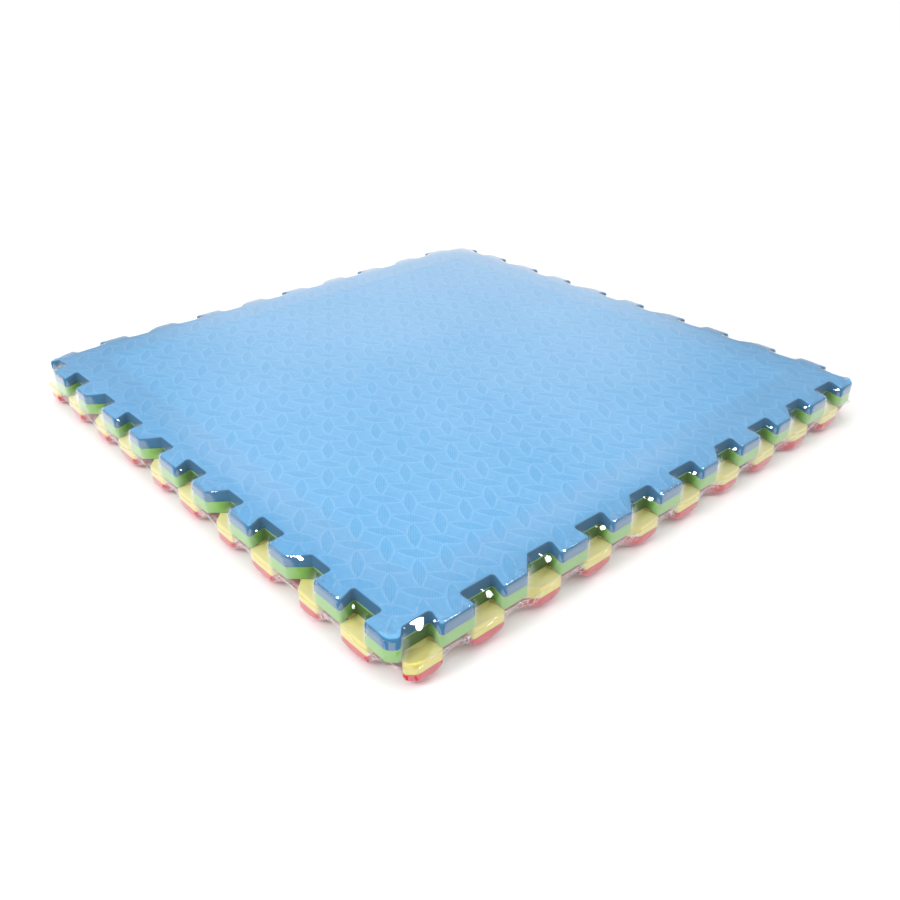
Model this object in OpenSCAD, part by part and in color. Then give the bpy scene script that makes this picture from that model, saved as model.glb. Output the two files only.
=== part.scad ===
// Four square interlocking foam mats for blocking knitting, stacked and
// sealed in one tight bag of clear shrink film.
//
// The mats are all cut by one die. Its outline has quarter-turn symmetry, so
// every edge of a mat hooks into every edge of another. In the pack the upper
// two mats lie face up and the lower two lie face down. Turning a mat over
// swaps its teeth and its gaps, so the lower teeth stand in the upper gaps.

/* [Mats] */
// Spacing of two mats that are hooked together edge to edge
mat_pitch = 600; // [480:20:720]
// Thickness of one mat
mat_thickness = 12; // [8:1:20]
// Pairs of gaps along each edge, one slanted gap and one dovetail gap to a pair
gap_pairs = 5; // [4:1:6]

/* [Teeth] */
// Depth of a gap, measured in from the tips of the teeth
tooth_depth = 15; // [10:1:16]
// Share of a pair taken by the mouth of its slanted gap
slant_share = 0.3; // [0.26:0.01:0.34]
// How far a dovetail wall leans back between its tip and its root
undercut = 3.5; // [1:0.5:4]
// Radius on every corner of the outline, inside and outside
corner_r = 2.5; // [1:0.5:3]

/* [Film] */
// Thickness of the film, many times the real 0.02 so that it is a solid
film_thickness = 0.3; // [0.2:0.1:0.6]
// Room between the tips of the teeth and the film round them
film_gap = 0.3; // [0.3:0.1:1]
// Width that the welded bead stands out from the film
bead_width = 1.2; // [0.8:0.2:2]
// Height of the welded bead
bead_height = 1; // [0.6:0.2:2]

/* [Hidden] */

// Plan: one mat is as wide as its pitch and one tooth
mat_w = mat_pitch + tooth_depth;
pair_w = mat_pitch / gap_pairs;

// Slanted gap: its first wall runs in at 45 degrees, its second leans back
slant_mouth_end = slant_share * pair_w;
slant_root_end = slant_mouth_end + undercut;

// Dovetail gap: placed so that each tooth fills a gap of the next mat
dove_root_start = (pair_w + tooth_depth - undercut) / 2;
dove_mouth_start = pair_w + tooth_depth - dove_root_start;
dove_mouth_end = pair_w + tooth_depth - slant_root_end;
dove_root_end = pair_w + tooth_depth - slant_mouth_end;

// Heights, from the floor up
red_z = film_thickness;
yellow_z = red_z + mat_thickness;
green_z = yellow_z + mat_thickness;
blue_z = green_z + mat_thickness;
stack_top = blue_z + mat_thickness;
pack_top = stack_top + film_thickness;
seal_z = green_z;

// The film cuts across the four corners of the stack
film_in = mat_w / 2 + film_gap;
film_out = film_in + film_thickness;
film_corner_cut = tooth_depth;

// One pair of gaps, as points along the front edge from the tip line inwards.
// The first pair of an edge starts at the corner, where four mats would meet,
// so its first wall begins half way in.
function gap_pair(first) = [
  first ? [tooth_depth / 2, tooth_depth / 2] : [0, 0],
  [tooth_depth, tooth_depth],
  [slant_root_end, tooth_depth],
  [slant_mouth_end, 0],
  [dove_mouth_start, 0],
  [dove_root_start, tooth_depth],
  [dove_root_end, tooth_depth],
  [dove_mouth_end, 0]
];

// The whole front edge, ending on the tip of its last tooth
function edge() = concat(
  [for (pair = [0:gap_pairs - 1]) for (p = gap_pair(pair == 0)) p + [pair * pair_w, 0]],
  [[mat_pitch, 0]]
);

// A point of the front edge, moved to the mat's centre and turned to one side
function on_side(p, turn) = let (q = p - [mat_w / 2, mat_w / 2])
  [q.x * cos(turn) - q.y * sin(turn), q.x * sin(turn) + q.y * cos(turn)];

module mat_outline() {
  offset(r = -corner_r, $fn = 12)
    offset(r = 2 * corner_r, $fn = 12)
      offset(r = -corner_r, $fn = 12)
        polygon([for (side = [0:3]) for (p = edge()) on_side(p, 90 * side)]);
}

// A mat with its lower face at z, turned over if face_down
module mat(z, face_down) {
  translate([0, 0, z])
    linear_extrude(mat_thickness)
      mirror([face_down ? 1 : 0, 0])
        mat_outline();
}

// The film's outline: a square with its corners cut off
module film_outline(half) {
  reach = half - film_corner_cut;
  polygon([
    [-reach, -half], [reach, -half], [half, -reach], [half, reach],
    [reach, half], [-reach, half], [-half, reach], [-half, -reach]
  ]);
}

// A wall of film round the stack, from one height up to another
module film_wall(bottom, top, inner, outer) {
  translate([0, 0, bottom])
    linear_extrude(top - bottom)
      difference() {
        film_outline(outer);
        film_outline(inner);
      }
}

module mat_blue() {
  color([0.47, 0.73, 0.94]) mat(blue_z, false);
}

module mat_green() {
  color([0.60, 0.80, 0.45]) mat(green_z, false);
}

module mat_yellow() {
  color([0.93, 0.89, 0.50]) mat(yellow_z, true);
}

module mat_red() {
  color([0.83, 0.36, 0.42]) mat(red_z, true);
}

// Upper web of the bag: the flat top and the sides down to the weld
module film_top() {
  color([0.92, 0.96, 1, 0.3]) {
    translate([0, 0, stack_top])
      linear_extrude(film_thickness)
        film_outline(film_out);
    film_wall(seal_z, stack_top, film_in, film_out);
  }
}

// Lower web of the bag: its sides, up to the weld
module film_lower_sides() {
  color([0.92, 0.96, 1, 0.3])
    film_wall(film_thickness, seal_z, film_in, film_out);
}

// Lower web of the bag: the flat base that the pack rests on
module film_base() {
  color([0.85, 0.90, 0.95, 0.3])
    linear_extrude(film_thickness)
      film_outline(film_out);
}

// The weld that joins the two webs, half way up the sides
module film_seal_bead() {
  color([1, 1, 1, 0.6])
    film_wall(seal_z - bead_height, seal_z, film_out, film_out + bead_width);
}

mat_blue();
mat_green();
mat_yellow();
mat_red();
film_top();
film_lower_sides();
film_base();
film_seal_bead();
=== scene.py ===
# %% [markdown]
# # A pack of blocking mats
# Knitters pin damp work out on foam mats so that it dries to shape. These four
# come as they are sold: stacked flat and sealed in clear shrink film.
# The script loads the measured model first, then builds each visible piece
# round it: four foam mats with an embossed face, and a tight skin of film.
# Everything is in metres, in the measured model's own frame, with +Z up.

# %% Load the frame
import math

import bpy
import numpy as np
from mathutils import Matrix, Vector
from mathutils.geometry import delaunay_2d_cdt


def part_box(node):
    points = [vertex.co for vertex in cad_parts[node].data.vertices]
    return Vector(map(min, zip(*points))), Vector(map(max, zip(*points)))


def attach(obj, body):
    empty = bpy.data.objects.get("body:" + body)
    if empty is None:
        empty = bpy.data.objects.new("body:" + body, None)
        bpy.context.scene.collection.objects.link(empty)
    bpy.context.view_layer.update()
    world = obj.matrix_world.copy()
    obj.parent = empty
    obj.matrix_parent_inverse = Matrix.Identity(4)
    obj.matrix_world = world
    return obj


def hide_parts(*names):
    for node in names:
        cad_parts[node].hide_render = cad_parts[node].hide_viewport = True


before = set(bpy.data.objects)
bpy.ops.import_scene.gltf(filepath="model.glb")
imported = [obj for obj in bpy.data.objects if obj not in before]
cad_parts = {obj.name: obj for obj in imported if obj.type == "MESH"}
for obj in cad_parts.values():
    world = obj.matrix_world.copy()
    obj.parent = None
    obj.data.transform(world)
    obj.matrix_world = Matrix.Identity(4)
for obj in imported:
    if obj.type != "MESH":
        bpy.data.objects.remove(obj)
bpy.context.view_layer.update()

MM = 0.001

# %% [markdown]
# ## The camera
# The camera comes first, because everything else is judged through it. It
# stands off the corner where the front and left edges meet, a little above
# the pack, and looks about thirty degrees down. The place is worked out from
# the mat's own width, so the view would still fit a larger pack.

# %% Camera
mat_low, mat_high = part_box("mat_blue")
mat_w = mat_high[0] - mat_low[0]
stack_top = mat_high[2]

camera_heading = math.radians(48.1)
camera_down = math.radians(29.8)
camera_place = Vector((-0.9469, -1.0780, 0.6528)) * mat_w + Vector((0, 0, stack_top))
look = Vector((
    math.cos(camera_heading) * math.cos(camera_down),
    math.sin(camera_heading) * math.cos(camera_down),
    -math.sin(camera_down),
))
camera = bpy.data.objects.new("camera", bpy.data.cameras.new("camera"))
camera.data.sensor_width = 36
camera.data.lens = 36.6
camera.data.clip_end = 50
camera.location = camera_place
camera.rotation_euler = look.to_track_quat("-Z", "Y").to_euler()
bpy.context.collection.objects.link(camera)
bpy.context.scene.camera = camera
print("camera at", [round(v, 3) for v in camera_place])

# %% [markdown]
# ## The outline of the die
# One steel die cuts every mat. Its outline could be drawn point by point, but
# a rule is shorter and explains the shape. Along each edge run five pairs of
# gaps: one with a slanted wall and one shaped like a dovetail. Each tooth is
# placed to fill a gap of the next mat, and the same edge, turned by a quarter,
# serves all four sides. Small round fillets replace the sharp corners.

# %% Outline
GAP_PAIRS = 5
tooth_depth = 15 * MM
pitch = mat_w - tooth_depth
pair_w = pitch / GAP_PAIRS
undercut = 3.5 * MM
slant_mouth_end = 0.3 * pair_w
slant_root_end = slant_mouth_end + undercut
dove_root_start = (pair_w + tooth_depth - undercut) / 2
dove_mouth_start = pair_w + tooth_depth - dove_root_start
dove_mouth_end = pair_w + tooth_depth - slant_root_end
dove_root_end = pair_w + tooth_depth - slant_mouth_end


def gap_pair(first):
    """One pair of gaps along the front edge, as points from the tip line inwards."""
    start = (tooth_depth / 2, tooth_depth / 2) if first else (0, 0)
    return [
        start, (tooth_depth, tooth_depth),
        (slant_root_end, tooth_depth), (slant_mouth_end, 0),
        (dove_mouth_start, 0), (dove_root_start, tooth_depth),
        (dove_root_end, tooth_depth), (dove_mouth_end, 0),
    ]


def quarter_turns(points, turns):
    """Turn points about the mat's centre by so many quarter turns."""
    c, s = round(math.cos(turns * math.pi / 2)), round(math.sin(turns * math.pi / 2))
    turned = np.array(points, float)
    turned[..., 0] = points[..., 0] * c - points[..., 1] * s
    turned[..., 1] = points[..., 0] * s + points[..., 1] * c
    return turned


def fillet(points, radii, steps):
    """Round each corner of a closed outline with an arc of so many steps."""
    rounded = []
    for before, corner, after, radius in zip(np.roll(points, 1, 0), points, np.roll(points, -1, 0), radii):
        back = (before - corner) / np.linalg.norm(before - corner)
        ahead = (after - corner) / np.linalg.norm(after - corner)
        half_angle = math.acos(np.clip(back @ ahead, -1, 1)) / 2
        middle = (back + ahead) / np.linalg.norm(back + ahead)
        centre = corner + middle * radius / math.sin(half_angle)
        start = corner + back * radius / math.tan(half_angle) - centre
        end = corner + ahead * radius / math.tan(half_angle) - centre
        sweep = math.pi - 2 * half_angle
        for i in range(steps + 1):
            a, b = math.sin(sweep * (1 - i / steps)), math.sin(sweep * i / steps)
            rounded.append(centre + (start * a + end * b) / math.sin(sweep))
    return np.array(rounded)


edge = [np.array(p) + (pair * pair_w, 0) for pair in range(GAP_PAIRS) for p in gap_pair(pair == 0)]
edge = np.array([*edge, (pitch, 0)]) - mat_w / 2
die = np.concatenate([quarter_turns(edge, side) for side in range(4)])
FILLET, FIRST_FILLET, LAST_FILLET = 2.5 * MM, 3.5 * MM, 9 * MM
corner_radii = np.full(len(edge), FILLET)
corner_radii[0], corner_radii[-1] = FIRST_FILLET, LAST_FILLET
corner_radii = np.tile(corner_radii, 4)
outline = fillet(die, corner_radii, 4)
print("outline of", len(outline), "points")

# %% [markdown]
# The cut edge has a fine soft arris, so the outline has to be drawn in a
# little near each face. Moving every point along the outline's own normal
# does that. The film needs the reverse: how far any point lies from the foam.
# A grid of signed distances along one edge, negative inside the foam, answers
# that quickly, and the quarter-turn symmetry covers the other three edges.

# %% Normals and distances
def outward(loop):
    """The outward unit normal at each point of an anticlockwise loop."""
    along = np.roll(loop, -1, 0) - np.roll(loop, 1, 0)
    normal = np.stack([along[:, 1], -along[:, 0]], 1)
    return normal / np.linalg.norm(normal, axis=1, keepdims=True)


def distance_to_loop(points, loop, batch=4000):
    """Signed distance of each point from a closed loop, negative inside, a batch at a time."""
    ends = np.roll(loop, -1, 0)
    signed = np.empty(len(points))
    for first in range(0, len(points), batch):
        p = points[first:first + batch, None]
        run = (ends - loop)[None]
        t = np.clip(((p - loop) * run).sum(2) / (run ** 2).sum(2), 0, 1)
        nearest = np.linalg.norm(p - loop - run * t[..., None], axis=2).min(1)
        crosses = (loop[:, 1] > p[..., 1]) != (ends[:, 1] > p[..., 1])
        rise = np.where(run[..., 1] == 0, 1, run[..., 1])
        at = loop[:, 0] + (p[..., 1] - loop[:, 1]) * run[..., 0] / rise
        inside = (crosses & (p[..., 0] < at)).sum(1) % 2 == 1
        signed[first:first + batch] = np.where(inside, -nearest, nearest)
    return signed


outline_normals = outward(outline)
half = mat_w / 2
GRID_STEP, GRID_MARGIN, GRID_DEPTH = 1 * MM, 6 * MM, 56 * MM
grid_x = np.arange(-half - GRID_MARGIN, half + GRID_MARGIN, GRID_STEP)
grid_y = np.arange(-half - GRID_MARGIN, -half + GRID_DEPTH, GRID_STEP)
grid_points = np.stack(np.meshgrid(grid_x, grid_y, indexing="ij"), -1).reshape(-1, 2)
edge_distance = distance_to_loop(grid_points, fillet(die, corner_radii, 2))
edge_distance = edge_distance.reshape(len(grid_x), len(grid_y))
print("distance grid", edge_distance.shape)

# %% [markdown]
# ## The embossed face
# The face of each mat is rolled with a tread of slim leaves. They lean two
# ways in turn, so that each tip points at its neighbour's side. A leaf is the
# overlap of two circles, and a low ridge runs round it. The ridge is real
# relief, three rings of points on each leaf, because its rims catch the
# light. The finer ribs inside the leaves are left to the material.
# A few more lines of points follow the outline, where the foam bends most.

# %% Leaves
LEAF_ACROSS, LEAF_UP = mat_w / 23, mat_w / 16.4
LEAF_HALF_LENGTH, LEAF_HALF_WIDTH = 17 * MM, 5.3 * MM
LEAF_START = (-7.4 * MM, 5.3 * MM)
LEAF_LEAN = math.radians(55)
RIDGE_HALF_WIDTH, RIDGE_HEIGHT = 1.2 * MM, 0.28 * MM
leaf_radius = (LEAF_HALF_LENGTH ** 2 + LEAF_HALF_WIDTH ** 2) / (2 * LEAF_HALF_WIDTH)


def leaf_ring(swell, steps=12):
    """A leaf's outline about its own centre, grown by swell, with its tips on the X axis."""
    drop = leaf_radius - LEAF_HALF_WIDTH
    tip = math.acos(drop / leaf_radius)
    turns = np.linspace(-tip, tip, steps + 1)
    radius = leaf_radius + swell
    arc = np.stack([radius * np.sin(turns), radius * np.cos(turns) - drop], 1)
    arc = arc[arc[:, 1] > -0.01 * MM]
    return np.concatenate([arc, -arc])


def leaf_points():
    """Points of every ridge: place, depth below the crest, share of crest, share of inside."""
    rings = []
    for swell, depth, crest, inside in ((-1, 1, 0, 1), (0, 0, 1, 0.5), (1, 1, 0, 0)):
        ring = leaf_ring(swell * RIDGE_HALF_WIDTH)
        marks = np.tile((depth * RIDGE_HEIGHT, crest, inside), (len(ring), 1))
        rings.append(np.column_stack([ring, marks]))
    leaf = np.concatenate(rings)
    columns, rows = int(half / LEAF_ACROSS) + 1, int(half / LEAF_UP) + 1
    leaves = []
    for lean, shift in ((LEAF_LEAN, 0), (-LEAF_LEAN, 0.5)):
        c, s = math.cos(lean), math.sin(lean)
        turned = np.column_stack([leaf[:, 0] * c - leaf[:, 1] * s, leaf[:, 0] * s + leaf[:, 1] * c])
        for i in range(-columns, columns + 1):
            for j in range(-rows, rows + 1):
                centre = np.array(((i + shift) * LEAF_ACROSS, (j + shift) * LEAF_UP)) + LEAF_START
                leaves.append(np.column_stack([turned + centre, leaf[:, 2:]]))
    return np.concatenate(leaves)


ARRIS = 1.1 * MM
LEAF_MARGIN = 0.8 * MM
relief = leaf_points()
reach = np.abs(relief[:, :2]).max(1)
tooth_roots = half - tooth_depth - 4 * MM
near_edge = (reach > tooth_roots) & (reach < half)
keep = reach <= tooth_roots
keep[near_edge] = distance_to_loop(relief[near_edge, :2], outline) < -ARRIS - LEAF_MARGIN
relief = relief[keep]
print(len(relief), "points of relief on each face")

# %% Bend lines
BEND_INSETS = (2.4 * MM, 3.8 * MM, 5.6 * MM, 8 * MM)
POINT_SPACING = 0.7 * MM


def inset_rings(*insets):
    """Points on lines drawn this far inside the outline, where the foam bends most."""
    rings = []
    for inset in insets:
        ring = (outline - outline_normals * inset)[::2]
        rings.append(ring[distance_to_loop(ring, outline) < -inset * 0.97])
    return np.concatenate(rings)


def spots(points):
    """The small square that each point falls in, to tell which points lie together."""
    return [tuple(p) for p in np.round(points[:, :2] / POINT_SPACING).astype(int)]


bend_rings = inset_rings(*BEND_INSETS)
ridge_spots = set(spots(relief))
clear_of_ridges = [spot not in ridge_spots for spot in spots(bend_rings)]
level_points = np.column_stack([bend_rings, np.tile((RIDGE_HEIGHT, 0, 0), (len(bend_rings), 1))])
relief = np.concatenate([relief, level_points[clear_of_ridges]])
print(sum(clear_of_ridges), "points on the bend lines")

# %% [markdown]
# ## One mat
# A mat is built as a stack of rings: the outline is drawn in at the lower
# face, runs out round the arris, up the cut side and in again at the upper
# face. The two faces are then filled with a constrained Delaunay mesh, which
# joins any set of points into well-shaped triangles. The upper face takes the
# leaf points, and the lower one a plain grid that lets it bend.

# %% Filling a face
def fill(loop, inner):
    """Triangles that fill a loop and pass through the inner points: indices, loop first."""
    points = [Vector(p) for p in np.concatenate([loop, inner])]
    rim = [(i, (i + 1) % len(loop)) for i in range(len(loop))]
    made = delaunay_2d_cdt(points, rim, [], 1, 1e-7)
    original = [group[0] for group in made[3]]
    return [[original[i] for i in face] for face in made[2]]


def add_piece(name, points, faces):
    """A mesh object at the origin, with its place in its mesh."""
    mesh = bpy.data.meshes.new(name)
    mesh.from_pydata([tuple(p) for p in points], [], faces)
    mesh.validate()
    mesh.update()
    mesh.shade_smooth()
    piece = bpy.data.objects.new(name, mesh)
    bpy.context.collection.objects.link(piece)
    print(name, len(mesh.vertices), "points,", len(mesh.polygons), "faces")
    return piece


def mark_points(piece, mark, values):
    """Store a number on each point of a piece, for its material to read."""
    stored = piece.data.attributes.new(mark, "FLOAT", "POINT")
    stored.data.foreach_set("value", values)


# %% Mat mesh
thickness = mat_high[2] - mat_low[2]
face_level = thickness - RIDGE_HEIGHT
PLAIN_MARGIN, PLAIN_TICKS = 6 * MM, 24


def side_profile():
    """(how far drawn in, height) of each ring, from the lower face to the upper."""
    turns = np.radians([0, 30, 60, 90])
    lower = [(ARRIS * (1 - math.sin(a)), ARRIS * (1 - math.cos(a))) for a in turns]
    upper = [(drawn, face_level - height) for drawn, height in reversed(lower)]
    middle = [(0, face_level * share) for share in (0.35, 0.65)]
    return lower + middle + upper


def mat_mesh():
    """Points and faces of one mat, lower face at z 0 and leaves upwards."""
    profile = side_profile()
    rings = [
        np.column_stack([outline - outline_normals * drawn, np.full(len(outline), height)])
        for drawn, height in profile
    ]
    n = len(outline)
    faces = [
        (k * n + i, k * n + (i + 1) % n, (k + 1) * n + (i + 1) % n, (k + 1) * n + i)
        for k in range(len(rings) - 1) for i in range(n)
    ]
    inner = half - tooth_depth - PLAIN_MARGIN
    ticks = np.linspace(-inner, inner, PLAIN_TICKS)
    plain = np.stack(np.meshgrid(ticks, ticks), -1).reshape(-1, 2)
    plain = np.concatenate([plain, bend_rings])
    below = np.column_stack([plain, np.zeros(len(plain))])
    above = np.column_stack([relief[:, :2], thickness - relief[:, 2]])
    first_below = len(rings) * n
    first_above = first_below + len(below)
    last_ring = (len(rings) - 1) * n
    for tri in fill(rings[0][:, :2], plain):
        faces.append([i if i < n else first_below + i - n for i in reversed(tri)])
    for tri in fill(rings[-1][:, :2], relief[:, :2]):
        faces.append([last_ring + i if i < n else first_above + i - n for i in tri])
    marks = np.zeros((first_above + len(above), 2))
    marks[first_above:] = relief[:, 3:]
    return np.concatenate([*rings, below, above]), faces, marks


mat_points, mat_faces, mat_marks = mat_mesh()
print("one mat:", len(mat_points), "points")

# %% [markdown]
# ## Pressed by the film
# Shrunk film squeezes the pack. Along every edge the soft foam gives way, the
# top rounding down and the bottom curling up, and the four corners give most.
# One function holds that whole shape, and the mats and the film all pass
# through it, so nothing that touched before the squeeze parts or crosses after.
# The two outer edges of the pack, against the film, are also rounded over.
# The rounding is widest at the corners of the lower teeth. Averaging the grid
# of distances finds those corners, because it rises most where foam is scarce.

# %% Squeeze
def look_up(field, x, y):
    """Read a grid between its points."""
    u = np.clip((x - grid_x[0]) / GRID_STEP, 0, len(grid_x) - 1.001)
    v = np.clip((y - grid_y[0]) / GRID_STEP, 0, len(grid_y) - 1.001)
    i, j = u.astype(int), v.astype(int)
    u, v = u - i, v - j
    low = field[i, j] * (1 - u) + field[i + 1, j] * u
    high = field[i, j + 1] * (1 - u) + field[i + 1, j + 1] * u
    return low * (1 - v) + high * v


EDGE_DROP, EDGE_LIFT, EDGE_REACH = 3.4 * MM, 1.6 * MM, 30 * MM
CORNER_REACH = 0.12 * mat_w
corner_drops = {(-1, -1): 2.5 * MM, (1, -1): 2.5 * MM, (1, 1): 4 * MM, (-1, 1): 7 * MM}
base_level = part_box("mat_red")[0][2]


def squeeze(points):
    """Lower the top and raise the bottom of the whole pack, near its edges and corners."""
    points = np.array(points, float)
    x, y, z = points.T
    inset = half - np.maximum(np.abs(x), np.abs(y))
    edge_share = np.clip(1 - inset / EDGE_REACH, 0, 1.2) ** 2
    drop, lift = EDGE_DROP * edge_share, EDGE_LIFT * edge_share
    for (side_x, side_y), amount in corner_drops.items():
        away = np.hypot(x - side_x * half, y - side_y * half)
        drop += amount * np.clip(1 - away / CORNER_REACH, 0, 1) ** 2
    share = (z - base_level) / (stack_top - base_level)
    points[:, 2] = z - drop * share + lift * (1 - share)
    return points


print("edges sink", round(EDGE_DROP / MM, 1), "mm, and the far left corner most")

# %% Rounded edges
def read_front(field, x, y, mirrored):
    """Read a grid of the front edge for points on any side, by turning them to the front."""
    turned_x, turned_y = x.copy(), y.copy()
    for turn in range(1, 4):
        side = quarter_turns(np.stack([x, y], -1), turn)
        closer = (side[..., 1] < turned_y) & (side[..., 1] <= -np.abs(side[..., 0]))
        turned_x = np.where(closer, side[..., 0], turned_x)
        turned_y = np.where(closer, side[..., 1], turned_y)
    return look_up(field[::-1] if mirrored else field, turned_x, turned_y)


def averaged(field, steps):
    """A grid averaged over a square that reaches this many steps each way."""
    window = np.ones(2 * steps + 1) / (2 * steps + 1)
    for axis in (0, 1):
        margin = [(steps, steps) if i == axis else (0, 0) for i in (0, 1)]
        field = np.apply_along_axis(np.convolve, axis, np.pad(field, margin, "edge"), window, "valid")
    return field


TOP_ROUND, TIP_REACH = 2.8 * MM, 11 * MM
CURL, CORNER_CURL, CORNER_RISE = 5 * MM, 5.5 * MM, 3 * MM
corner_share = np.clip((averaged(edge_distance, 9) - edge_distance) / CORNER_RISE, 0, 1)
tip_share = np.clip(1 - (grid_y + half) / TIP_REACH, 0, 1)
top_round = np.tile(ARRIS + (TOP_ROUND - ARRIS) * tip_share, (len(grid_x), 1))
curl_round = CURL + CORNER_CURL * corner_share


def round_over(points, radii, mirrored, lower_edge):
    """Round the upper or the lower edge of a mat over, as the film pulls it in."""
    radius = read_front(radii, points[:, 0], points[:, 1], mirrored)
    inside = -read_front(edge_distance, points[:, 0], points[:, 1], mirrored)
    depth = np.clip(radius - inside, 0, radius)
    moved = radius - np.sqrt(radius ** 2 - depth ** 2)
    height = points[:, 2] - points[:, 2].min()
    share = height / height.max()
    points[:, 2] += moved * (1 - share) if lower_edge else -moved * share
    return points


print("lower edge rounded by", round(CURL / MM, 1), "to", round(curl_round.max() / MM, 1), "mm")

# %% [markdown]
# ## The four mats
# Blue and green lie face up, yellow and red face down. Turning a mat over
# mirrors its outline, so the teeth of the two lower mats fall under the gaps
# of the upper pair. Each mat is its own object and rides on its own body.
# A mark on each point says how near it is to the root of a gap. The material
# paints shade there, darker towards the root, as little light gets in.

# %% Mats
ROOT_MARGIN = 0.5 * MM
mats = {}
for colour in ("blue", "green", "yellow", "red"):
    low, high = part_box("mat_" + colour)
    placed = mat_points.copy()
    if colour in ("yellow", "red"):
        placed = placed * (-1, 1, -1) + (0, 0, thickness)
    placed[:, 2] += low[2]
    if colour == "blue":
        placed = round_over(placed, top_round, False, False)
    if colour == "red":
        placed = round_over(placed, curl_round, True, True)
    inset = half - np.abs(placed[:, :2]).max(1)
    # How deep a point lies in a gap, for the painted shade at its root.
    root = np.where(inset < tooth_depth + ROOT_MARGIN, np.clip(inset / tooth_depth, 0, 1), 0)
    mats[colour] = add_piece("mat_of_" + colour + "_foam", squeeze(placed), mat_faces)
    for mark, values in zip(("leaf crest", "leaf inside", "root"), (*mat_marks.T, root)):
        mark_points(mats[colour], mark, values)
    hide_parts("mat_" + colour)
    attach(mats[colour], colour + "_mat")

# %% [markdown]
# ## The shrunk film
# Film pulled tight takes the least area that still clears what is inside it,
# like a soap film held off by the foam. So it starts as a plain box of points
# round the pack, and each point moves again and again to the middle of its
# neighbours. Whenever that puts it inside the foam it is pushed back out. It
# bridges the gaps between teeth in saddles with nobody drawing them.
# A weld runs round the pack at half its height and holds both halves of the
# film straight. The corner of the film is cut across, as the weld is.

# %% Weld line
weld_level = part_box("film_lower_sides")[1][2]
film_reach = half + 0.5 * MM
COLUMNS = 304


def weld_line():
    """Points of the weld along the front edge, from the near corner's cut to the right one's."""
    cut = tooth_depth
    slope = cut / math.sqrt(2)
    straight = 2 * (film_reach - cut)
    at = (np.arange(COLUMNS) + 0.5) / COLUMNS * (straight + 2 * slope)
    before = np.clip(slope - at, 0, slope) / math.sqrt(2)
    after = np.clip(at - slope - straight, 0, slope) / math.sqrt(2)
    along = np.clip(at - slope, 0, straight) - straight / 2
    return np.column_stack([along - before + after, -film_reach + before + after])


print("weld at", round(weld_level / MM, 1), "mm, in", 4 * COLUMNS, "columns")

# %% Foam as distances
CLEAR = 0.2 * MM


def solid(lower, upper, mirrored, lower_round, upper_round):
    """The foam of two mats as a distance field: its levels, its distances and its rounding."""
    step = -1 if mirrored else 1
    grid = edge_distance[::step]
    return {
        "middle": (lower + upper) / 2, "half": (upper - lower) / 2,
        "fields": (grid, *np.gradient(grid, GRID_STEP), lower_round[::step], upper_round[::step]),
    }


def push_out(points, foam):
    """Move the points that are inside the foam, or closer than the clearance, back out."""
    x, y, z = points[..., 0], points[..., 1], points[..., 2]
    flat, slope_x, slope_y, lower_round, upper_round = (look_up(field, x, y) for field in foam["fields"])
    rise = z - foam["middle"]
    rounding = np.where(rise < 0, lower_round, upper_round)
    across = flat + rounding
    upwards = np.abs(rise) - foam["half"] + rounding
    outside = np.hypot(np.maximum(across, 0), np.maximum(upwards, 0))
    depth = CLEAR + rounding - np.where(outside > 0, outside, np.maximum(across, upwards))
    length = np.maximum(outside, 1e-9)
    sideways = np.where(outside > 0, np.maximum(across, 0) / length, across > upwards)
    vertical = np.where(outside > 0, np.maximum(upwards, 0) / length, across <= upwards)
    move = np.maximum(depth, 0)
    points[..., 0] += move * sideways * slope_x
    points[..., 1] += move * sideways * slope_y
    points[..., 2] += move * vertical * np.sign(rise)
    return points


arris_round = np.full(edge_distance.shape, ARRIS)
upper_foam = solid(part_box("mat_green")[0][2], stack_top, False, arris_round, top_round)
lower_foam = solid(base_level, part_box("mat_yellow")[1][2], True, curl_round, arris_round)
print("film clears the foam by", CLEAR / MM, "mm")

# %% Relax the film
INWARD = np.array([48, 39, 31.5, 25.5, 21, 17.5, 14.5, 12, 10, 8.2, 6.5, 5, 3.6, 2.3, 1.1]) * MM
SIDE_ROWS, MOMENTUM = 16, 0.85
WELD_DROP, WELD_SAG = 0.8 * MM, 3.5 * MM
SAG_INSET, SAG_REACH = 12 * MM, 10 * MM


def relax(level, foams, rounds=900):
    """A web of film from well inside the face at this level, over the edge to the weld."""
    line = weld_line()
    flat = np.full(COLUMNS, level)
    face = [np.column_stack([line * (film_reach - d) / film_reach, flat]) for d in INWARD]
    under_edge = line * (1 - SAG_INSET / half)
    over_tooth = np.clip(-look_up(lower_foam["fields"][0], *under_edge.T) / SAG_REACH, 0, 1)
    weld = weld_level - WELD_DROP - WELD_SAG * over_tooth * (2 - over_tooth)
    shares = np.linspace(0, 1, SIDE_ROWS)
    side = [np.column_stack([line, level + (weld - level) * share]) for share in shares]
    web = np.array(face + side)
    spacing = np.linalg.norm(np.diff(web[:, COLUMNS // 2], axis=0), axis=1)[:, None, None]
    column_width = np.linalg.norm(line[COLUMNS // 2] - line[COLUMNS // 2 - 1])
    up, down = 1 / spacing[:-1], 1 / spacing[1:]
    sideways = (spacing[:-1] + spacing[1:]) / 2 / column_width ** 2
    total = up + down + 2 * sideways
    last = web.copy()
    for _ in range(rounds):
        before = quarter_turns(web[:, -1:], -1)
        after = quarter_turns(web[:, :1], 1)
        wide = np.concatenate([before, web, after], 1)
        beside = wide[1:-1, :-2] + wide[1:-1, 2:]
        pulled = (web[:-2] * up + web[2:] * down + beside * sideways) / total
        step = web[1:-1] - last[1:-1]
        last = web.copy()
        web[1:-1] = pulled + MOMENTUM * step
        for foam in foams:
            push_out(web[1:-1], foam)
    return web


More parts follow.
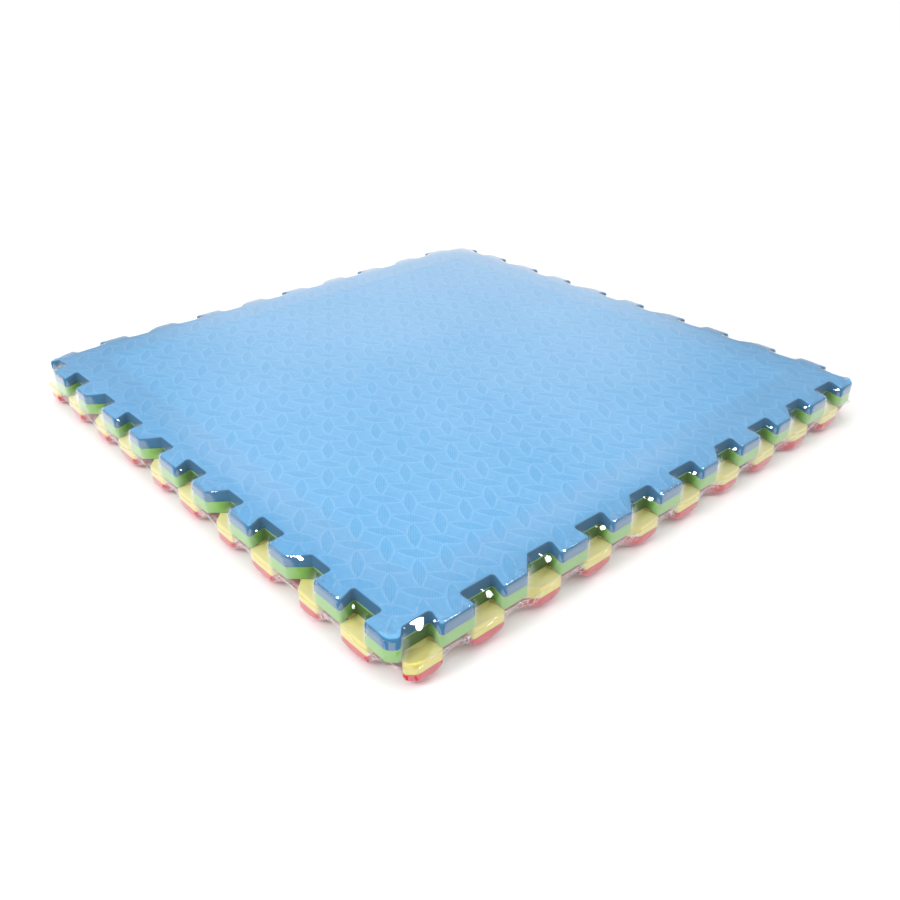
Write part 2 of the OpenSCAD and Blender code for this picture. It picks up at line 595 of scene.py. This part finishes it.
upper_web = relax(stack_top + CLEAR, [upper_foam, lower_foam])
lower_web = relax(base_level - CLEAR, [upper_foam, lower_foam])
edge_dip = stack_top - upper_web[len(INWARD), :, 2].min()
print("film settled, deepest", round(edge_dip / MM, 1), "mm under the top at its edge")

# %% [markdown]
# The relaxed quarter is turned four times to close the skin. Film that bridges
# a gap crinkles a little where it was gathered, so a few waves are laid into it
# there. How far each point hangs from the foam says how much. The finest folds
# would need a very fine mesh, so marks on the points leave them to the material.

# %% Crinkles
FREE_FROM, FREE_OVER, PRESS_REACH = 0.5 * MM, 4 * MM, 8 * MM


def free_film(points):
    """How far each point of the web is from the foam."""
    gaps = []
    for foam in (upper_foam, lower_foam):
        flat = look_up(foam["fields"][0], points[..., 0], points[..., 1])
        upwards = np.abs(points[..., 2] - foam["middle"]) - foam["half"]
        outside = np.hypot(np.maximum(flat, 0), np.maximum(upwards, 0))
        gaps.append(np.where(outside > 0, outside, np.maximum(flat, upwards)))
    return np.minimum(*gaps)


def swell(points, count, wavelength, seed):
    """A smooth random field made of plane waves of about one wavelength, from -1 to 1."""
    waves = np.random.default_rng(seed)
    field = np.zeros(points.shape[:-1])
    for _ in range(count):
        heading = waves.normal(size=3)
        heading *= 2 * math.pi / wavelength / np.linalg.norm(heading) * waves.uniform(0.6, 1.5)
        field += np.sin(points @ heading + waves.uniform(0, 6.28))
    return field / math.sqrt(count)


def hangs_free(gap):
    """From 0 where the film touches the foam to 1 where it is well clear."""
    return np.clip((gap - FREE_FROM) / FREE_OVER, 0, 1)


def pressed(gap):
    """From 1 where the film lies on the foam to 0 far from it."""
    return np.clip(1 - gap / PRESS_REACH, 0, 1)


def whole_web(web, wavelength, height):
    """All four quarters of a web, crinkled where it hangs free, and each point's gap to the foam."""
    web = np.concatenate([quarter_turns(web, turn) for turn in range(4)], 1)
    gap = np.concatenate([free_film(quarter_turns(part, -turn)) for turn, part in
                          enumerate(np.split(web, 4, 1))], 1)
    normal = np.cross(np.gradient(web, axis=0), np.gradient(web, axis=1))
    normal /= np.maximum(np.linalg.norm(normal, axis=-1, keepdims=True), 1e-12)
    crinkle = swell(web, 24, wavelength, 3) * height
    web[1:-1] += (normal * (crinkle * hangs_free(gap))[..., None])[1:-1]
    return web, gap


upper_rows, upper_gap = whole_web(upper_web, 24 * MM, 0.08 * MM)
lower_rows, lower_gap = whole_web(lower_web, 9 * MM, 0.3 * MM)
print("film hangs up to", round(upper_gap.max() / MM, 1), "mm from the foam")

# %% [markdown]
# Each web becomes a mesh with its rows joined in quads. The part inside the
# first row is filled like the face of a mat, with a plain grid.

# %% Film pieces
def web_faces(rows, columns):
    """Quads between the rows of a closed web."""
    steps = [(c, (c + 1) % columns) for c in range(columns)]
    return [
        (r * columns + c, (r + 1) * columns + c, (r + 1) * columns + after, r * columns + after)
        for r in range(rows - 1) for c, after in steps
    ]


MIDDLE_MARGIN, MIDDLE_TICKS = 58 * MM, 44


def film_piece(name, rows, marks, outside_up, middle_level=None):
    """A piece of film from rows of the web, with its middle filled if it has a level."""
    points = rows.reshape(-1, 3)
    faces = web_faces(len(rows), rows.shape[1])
    if middle_level is not None:
        ticks = np.linspace(-1, 1, MIDDLE_TICKS) * (half - MIDDLE_MARGIN)
        plain = np.stack(np.meshgrid(ticks, ticks), -1).reshape(-1, 2)
        first = len(points)
        loop = rows.shape[1]
        middle = np.column_stack([plain, np.full(len(plain), middle_level)])
        for tri in fill(rows[0][:, :2], plain):
            faces.append([i if i < loop else first + i - loop for i in tri])
        points = np.concatenate([points, middle])
    if not outside_up:
        faces = [face[::-1] for face in faces]
    piece = add_piece(name, squeeze(points), faces)
    for mark, values in marks.items():
        mark_points(piece, mark, np.pad(values.ravel(), (0, len(points) - values.size)))
    return piece


# %% [markdown]
# The marks come next. Film is gathered most where it hangs free near one
# corner of the pack, and wrinkled on the tips of the top teeth.

# %% Film marks
TIP_WIDTH, TIP_HEIGHT = 18 * MM, 1.5 * MM
CORNER_WIDTH, PATCH_WIDTH = 50 * MM, 70 * MM
near_corner = np.hypot(lower_rows[..., 0] + half, lower_rows[..., 1] + half)
over_tips = np.clip(1 - (half - np.abs(upper_rows[..., :2]).max(-1)) / TIP_WIDTH, 0, 1)
over_tips = over_tips * (upper_rows[..., 2] > stack_top - TIP_HEIGHT)
patches = np.clip(swell(upper_rows, 12, PATCH_WIDTH, 5), 0, 1)
upper_marks = {
    "gathered": over_tips * patches * 0.22,
    "wrinkled": over_tips * (upper_rows[..., 2] > stack_top),
    "pressed": pressed(upper_gap),
}
lower_marks = {
    "gathered": hangs_free(lower_gap) * (0.55 + 0.6 * np.clip(1.6 - near_corner / CORNER_WIDTH, 0, 1)),
    "wrinkled": 0 * lower_gap,
    "pressed": pressed(lower_gap),
}
bottom_rows = len(INWARD)
side_marks = {mark: values[bottom_rows:] for mark, values in lower_marks.items()}
base_marks = {mark: values[:bottom_rows + 1] for mark, values in lower_marks.items()}
side_rows, base_rows = lower_rows[bottom_rows:], lower_rows[:bottom_rows + 1]
film_top = film_piece("clear_film_over_the_top", upper_rows, upper_marks, True, stack_top + CLEAR)
film_sides = film_piece("clear_film_round_the_lower_sides", side_rows, side_marks, False)
film_base = film_piece("clear_film_under_the_base", base_rows, base_marks, False, base_level - CLEAR)

# %% [markdown]
# The weld is a thin bead where the two halves of the film were melted through.
# It is swept along the weld line as a small round ring of points.

# %% Weld bead
BEAD_RADIUS, BEAD_SIDES, BEAD_OFFSET = 0.3 * MM, 8, 0.2 * MM


def bead(line):
    """A closed bead round a loop of points."""
    along = np.roll(line, -1, 0) - np.roll(line, 1, 0)
    along /= np.linalg.norm(along, axis=1, keepdims=True)
    outwards = np.cross(along, (0, 0, 1.0))
    rings = []
    for a in np.arange(BEAD_SIDES) * (2 * math.pi / BEAD_SIDES):
        rise = np.array((0, 0, BEAD_RADIUS * math.sin(a)))
        rings.append(line + outwards * (BEAD_OFFSET + BEAD_RADIUS * math.cos(a)) + rise)
    points = np.array(rings).reshape(-1, 3)
    n = len(line)
    faces = []
    for k in range(BEAD_SIDES):
        this, beyond = k * n, (k + 1) % BEAD_SIDES * n
        faces += [(this + i, this + (i + 1) % n, beyond + (i + 1) % n, beyond + i) for i in range(n)]
    return add_piece("film_weld_bead", squeeze(points), faces)


weld_bead = bead(upper_rows[-1])

# %% [markdown]
# The two halves of the film ride on different bodies, so that the upper half
# lifts off.

# %% Film on its bodies
for piece, node, body in (
    (film_top, "film_top", "wrap_top"),
    (film_sides, "film_lower_sides", "wrap_base"),
    (film_base, "film_base", "wrap_base"),
    (weld_bead, "film_seal_bead", "wrap_base"),
):
    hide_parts(node)
    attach(piece, body)

# %% [markdown]
# ## Materials
# A small class wraps a shader socket, so that shader maths reads as ordinary
# sums. An expression such as 1 - mask adds the Math node by itself.

# %% Shader maths
class Socket:
    """A shader output that adds Math nodes when it is used in a sum."""

    def __init__(self, shader, output):
        self.shader = shader
        self.output = output

    def maths(self, operation, *values):
        """Add one Math node."""
        node = self.shader.node("ShaderNodeMath", {"operation": operation}, dict(enumerate(values)))
        return node[0]

    def __add__(self, other):
        return self.maths("ADD", self, other)

    def __sub__(self, other):
        return self.maths("SUBTRACT", self, other)

    def __rsub__(self, other):
        return self.maths("SUBTRACT", other, self)

    def __mul__(self, other):
        return self.maths("MULTIPLY", self, other)

    def __pow__(self, other):
        return self.maths("POWER", self, other)

    __radd__ = __add__
    __rmul__ = __mul__


class Shader:
    """A material, or a sky, whose nodes are added by one method."""

    def __init__(self, name, sky=False):
        self.block = (bpy.data.worlds if sky else bpy.data.materials).new(name)
        self.block.use_nodes = True
        self.tree = self.block.node_tree
        self.tree.nodes.clear()
        self.output = self.tree.nodes.new("ShaderNodeOutputWorld" if sky else "ShaderNodeOutputMaterial")

    def node(self, kind, settings=None, inputs=None):
        """Add a node and give back its outputs as a list of sockets."""
        node = self.tree.nodes.new(kind)
        for key, value in (settings or {}).items():
            if key == "stops":
                for stop, (place, colour) in zip(node.color_ramp.elements, value):
                    stop.position = place
                    stop.color = colour
            else:
                setattr(node, key, value)
        for key, value in (inputs or {}).items():
            if isinstance(value, Socket):
                self.tree.links.new(value.output, node.inputs[key])
            else:
                node.inputs[key].default_value = value
        return [Socket(self, output) for output in node.outputs]

    def finish(self, surface):
        """Link the surface to the output and give back the material or the sky."""
        self.tree.links.new(surface.output, self.output.inputs["Surface"])
        return self.block


# %% Common nodes
def point_mark(shader, mark):
    """A number that was stored on the points of a piece."""
    return shader.node("ShaderNodeAttribute", {"attribute_name": mark})[2]


def object_place(shader):
    """The place in the piece's own coordinates."""
    return shader.node("ShaderNodeTexCoord")[3]


def upward_share(shader):
    """How far the surface faces up, from -1 to 1."""
    normal = shader.node("ShaderNodeNewGeometry")[1]
    return shader.node("ShaderNodeSeparateXYZ", None, {0: normal})[2]


def turned(shader, place, degrees, scale=(1, 1, 1)):
    """Coordinates turned about the vertical and scaled."""
    inputs = {"Vector": place, "Rotation": (0, 0, math.radians(degrees)), "Scale": scale}
    return shader.node("ShaderNodeMapping", None, inputs)[0]


def noise(shader, place, scale, detail):
    """Cloudy noise, as a value and as a colour."""
    return shader.node("ShaderNodeTexNoise", None, {"Vector": place, "Scale": scale, "Detail": detail})


def ramp(shader, value, start, end, kind="LINEAR"):
    """How far a value is on its way from start to end, from 0 to 1."""
    inputs = {"Value": value, "From Min": start, "From Max": end}
    return shader.node("ShaderNodeMapRange", {"interpolation_type": kind}, inputs)[0]


def mix_colours(shader, share, first, second):
    """Two colours mixed, each of them a socket or three numbers."""
    first, second = (c if isinstance(c, Socket) else (*c, 1) for c in (first, second))
    return shader.node("ShaderNodeMix", {"data_type": "RGBA"}, {0: share, 6: first, 7: second})[2]


# %% [markdown]
# ## Foam
# EVA foam is dull and faintly waxy. Sheet foam has a closed skin on its
# embossed face, with fine ribs all leaning one way, and open cells
# where it was cut. The way a surface faces tells one from the other. The cut
# sides of the blue and green mats are coloured darker than their faces, partly
# the cut foam's own colour and partly painted shade. The leaf crests are
# painted lighter and the grooves between the ribs darker, painted highlight and
# shade. The roots of the gaps are mixed towards a dark copy of the foam's own
# colour, painted shade where little light gets in.

# %% Foam material
def foam(name, face_colour, side_colour_and_shade, face_up, shade):
    """Dull foam with a ribbed skin on its embossed face and small cells on its cut sides, with painted
    shade at the gap roots.
    """
    shader = Shader(name)
    place = object_place(shader)
    rise = upward_share(shader)
    face = ramp(shader, rise if face_up else 0 - rise, 0.75, 0.97)
    flat = ramp(shader, rise * rise, 0.3, 0.7)
    crest, inside, root = (point_mark(shader, mark) for mark in ("leaf crest", "leaf inside", "root"))
    ribs = shader.node("ShaderNodeTexWave", {"bands_direction": "X"}, {
        "Vector": turned(shader, place, -140), "Scale": 165.0, "Distortion": 0.6, "Detail": 1.0,
    })[1]
    cells = shader.node("ShaderNodeTexVoronoi", None, {"Vector": place, "Scale": 900.0})[0]
    grain = noise(shader, place, 260.0, 3.0)[0]
    cloud = noise(shader, place, 9.0, 2.0)[0]
    height = ribs * face * inside * 0.6 + cells * (1 - face) * 0.4 + grain * 0.3
    bump = shader.node("ShaderNodeBump", None, {"Height": height, "Strength": 0.5, "Distance": 0.0004})[0]
    # Random grain and cloud tone, plus a painted highlight on the leaf crests and painted shade in the
    # grooves between the ribs.
    tone_and_painted_relief_light = grain * 0.4 + cloud * 0.4 + crest * face * 0.38 - inside * (1 - ribs) * 0.16
    dark_skin, pale_skin = [c * 0.86 for c in face_colour], [1 - (1 - c) * 0.78 for c in face_colour]
    skin_colour = mix_colours(shader, tone_and_painted_relief_light, dark_skin, pale_skin)
    colours = mix_colours(shader, flat, side_colour_and_shade, skin_colour)
    # Painted shade: cut sides near a gap root are mixed towards a dark copy of the side colour.
    painted_root_shade = [c * 0.12 for c in side_colour_and_shade]
    colours_with_painted_shade = mix_colours(shader, root ** 3 * (1 - face) * shade, colours, painted_root_shade)
    skin = shader.node("ShaderNodeBsdfPrincipled", None, {
        "Base Color": colours_with_painted_shade, "Roughness": 0.75, "Normal": bump, "IOR": 1.4,
    })[0]
    return shader.finish(skin)


# The cut-side colours of blue and green are darker than their faces: partly the cut foam's own colour,
# partly painted shade. The third number is how strong the painted shade at the gap roots is.
foam_colours = {
    "blue": ((0.085, 0.43, 0.79), (0.035, 0.19, 0.37), 0.2),
    "green": ((0.38, 0.72, 0.15), (0.25, 0.55, 0.10), 0.78),
    "yellow": ((0.86, 0.76, 0.15), (0.88, 0.77, 0.16), 0.55),
    "red": ((0.72, 0.02, 0.04), (0.72, 0.02, 0.04), 0.85),
}
for colour, (face_colour, side_colour_and_shade, shade) in foam_colours.items():
    made = foam("foam_" + colour, face_colour, side_colour_and_shade, colour in ("blue", "green"), shade)
    mats[colour].data.materials.append(made)
print(len(foam_colours), "colours of foam")

# %% [markdown]
# ## Film
# Thin film hardly bends light, so it is a mix of plain transparency and a
# sharp white gloss. The share of gloss climbs steeply where the film is seen
# at a glance, as it does on any clear surface. Film has two surfaces, so the
# climb is nearly doubled. A little haze is added where the film lies on foam,
# and white folds where it is gathered. A slight bump breaks its reflections up.

# %% Film material
def clear_film(name, haze):
    """A clear glossy skin with this much haze where it is pressed, and white folds."""
    shader = Shader(name)
    place = object_place(shader)
    gathered, wrinkled, pressed_here = (
        point_mark(shader, mark) for mark in ("gathered", "wrinkled", "pressed")
    )
    ripple = noise(shader, turned(shader, place, 25, (45, 12, 30)), 1.0, 2.0)[0]
    bent = noise(shader, place, 120.0, 2.0)[1]
    wandering = shader.node("ShaderNodeVectorMath", {"operation": "MULTIPLY_ADD"}, {
        0: bent, 1: (0.006, 0.006, 0.006), 2: place,
    })[0]
    creases = shader.node("ShaderNodeTexVoronoi", {"feature": "DISTANCE_TO_EDGE"}, {
        "Vector": wandering, "Scale": 170.0,
    })[0]
    fold = ramp(shader, creases, 0.09, 0.015)
    wrinkle = noise(shader, turned(shader, wandering, -35, (260, 45, 60)), 1.0, 2.0)[0]
    streak = ramp(shader, wrinkle, 0.52, 0.7)
    rise = upward_share(shader)
    side = 1 - rise * rise
    height = ripple * 0.1 + fold * gathered * 1.2 + wrinkle * wrinkled * 1.2
    bump = shader.node("ShaderNodeBump", None, {"Height": height, "Strength": 0.35, "Distance": 0.0015})[0]
    glance = shader.node("ShaderNodeLayerWeight", None, {"Blend": 0.5, "Normal": bump})[1]
    white = fold * gathered + streak * wrinkled * 0.25 + pressed_here * side * 0.05
    share = glance ** 5 * 1.7 + white + haze * (0.3 + 0.7 * pressed_here)
    clear = shader.node("ShaderNodeBsdfTransparent", None, {"Color": (0.985, 0.985, 0.99, 1)})[0]
    gloss = shader.node("ShaderNodeBsdfPrincipled", None, {
        "Base Color": (0.96, 0.97, 1.0, 1), "Metallic": 1.0, "Roughness": 0.05, "Normal": bump,
    })[0]
    mixed = shader.node("ShaderNodeMixShader", None, {0: share, 1: clear, 2: gloss})[0]
    return shader.finish(mixed)


film_look = clear_film("clear_film", 0.11)
for piece in (film_top, film_sides, film_base):
    piece.data.materials.append(film_look)
weld_bead.data.materials.append(clear_film("film_weld", 0.5))
print("film and weld materials made")

# %% [markdown]
# ## Studio
# A white floor, a dim sky with a pale backdrop behind, and a wide soft light
# overhead. A softbox lights the left side. Three small cards close to the pack
# only show as reflections. The left and right ones put the bright spots on the
# film in the gaps between teeth, and the thin one draws a line along the edge of
# the nearest teeth. The dim sky keeps the gaps deep.

# %% Sky
sky = Shader("studio_sky", sky=True)
direction = sky.node("ShaderNodeTexCoord")[0]
height = sky.node("ShaderNodeSeparateXYZ", None, {0: direction})[2]
level = sky.node("ShaderNodeVectorMath", {"operation": "MULTIPLY"}, {0: direction, 1: (1, 1, 0)})[0]
bearing = sky.node("ShaderNodeVectorMath", {"operation": "NORMALIZE"}, {0: level})[0]
backdrop_heading = math.radians(49)
ahead = (math.cos(backdrop_heading), math.sin(backdrop_heading), 0)
facing = sky.node("ShaderNodeVectorMath", {"operation": "DOT_PRODUCT"}, {0: bearing, 1: ahead})[1]
backdrop = ramp(sky, facing, 0.93, 0.99, "SMOOTHSTEP")
low = ramp(sky, height, 0.72, 0.48, "SMOOTHSTEP")
horizon = ramp(sky, height, 0.22, 0.0, "SMOOTHSTEP")
glow = backdrop * low * 0.8 + (1 - backdrop) * horizon * 0.5 + 0.36
sky_light = sky.node("ShaderNodeBackground", None, {"Strength": glow})[0]
bpy.context.scene.world = sky.finish(sky_light)
print("sky faces", round(math.degrees(backdrop_heading)), "degrees")

# %% Floor and lamps
bpy.ops.mesh.primitive_plane_add(size=60, location=(0, 0, 0))
floor = bpy.context.object
floor.name = "floor"
floor_shader = Shader("floor_white")
floor_skin = floor_shader.node("ShaderNodeBsdfPrincipled", None, {
    "Base Color": (0.9, 0.9, 0.9, 1), "Roughness": 0.9, "Specular IOR Level": 0.1,
    "Emission Color": (1, 1, 1, 1), "Emission Strength": 0.1,
})[0]
floor.data.materials.append(floor_shader.finish(floor_skin))


def lamp(name, kind, place, size, power, lights=True, reflects=True):
    """A soft lamp at this place, facing the pack, that can be left out of light or reflections."""
    light = bpy.data.lights.new(name, kind)
    light.energy = power
    if kind == "SUN":
        light.angle = size
    else:
        light.shape = "ELLIPSE"
        light.size, light.size_y = size
    lamp_object = bpy.data.objects.new(name, light)
    lamp_object.location = place
    lamp_object.rotation_euler = (-Vector(place)).to_track_quat("-Z", "Y").to_euler()
    lamp_object.visible_diffuse = lights
    lamp_object.visible_glossy = reflects
    bpy.context.collection.objects.link(lamp_object)


lamp("overhead light", "SUN", (0, 0, 3), math.radians(100), 2.25, reflects=False)
lamp("left softbox", "AREA", (-1.9, 0.13, 1.5), (1.0, 1.0), 20, reflects=False)
lamp("right card", "AREA", (-0.06, -0.95, 0.5), (0.42, 0.3), 10, lights=False)
lamp("edge card", "AREA", (0.32, -0.85, 0.54), (0.16, 0.04), 0.45, lights=False)
lamp("left card", "AREA", (-0.65, -0.2, 0.3), (0.12, 0.12), 0.9, lights=False)
bpy.context.scene.view_settings.view_transform = "Standard"
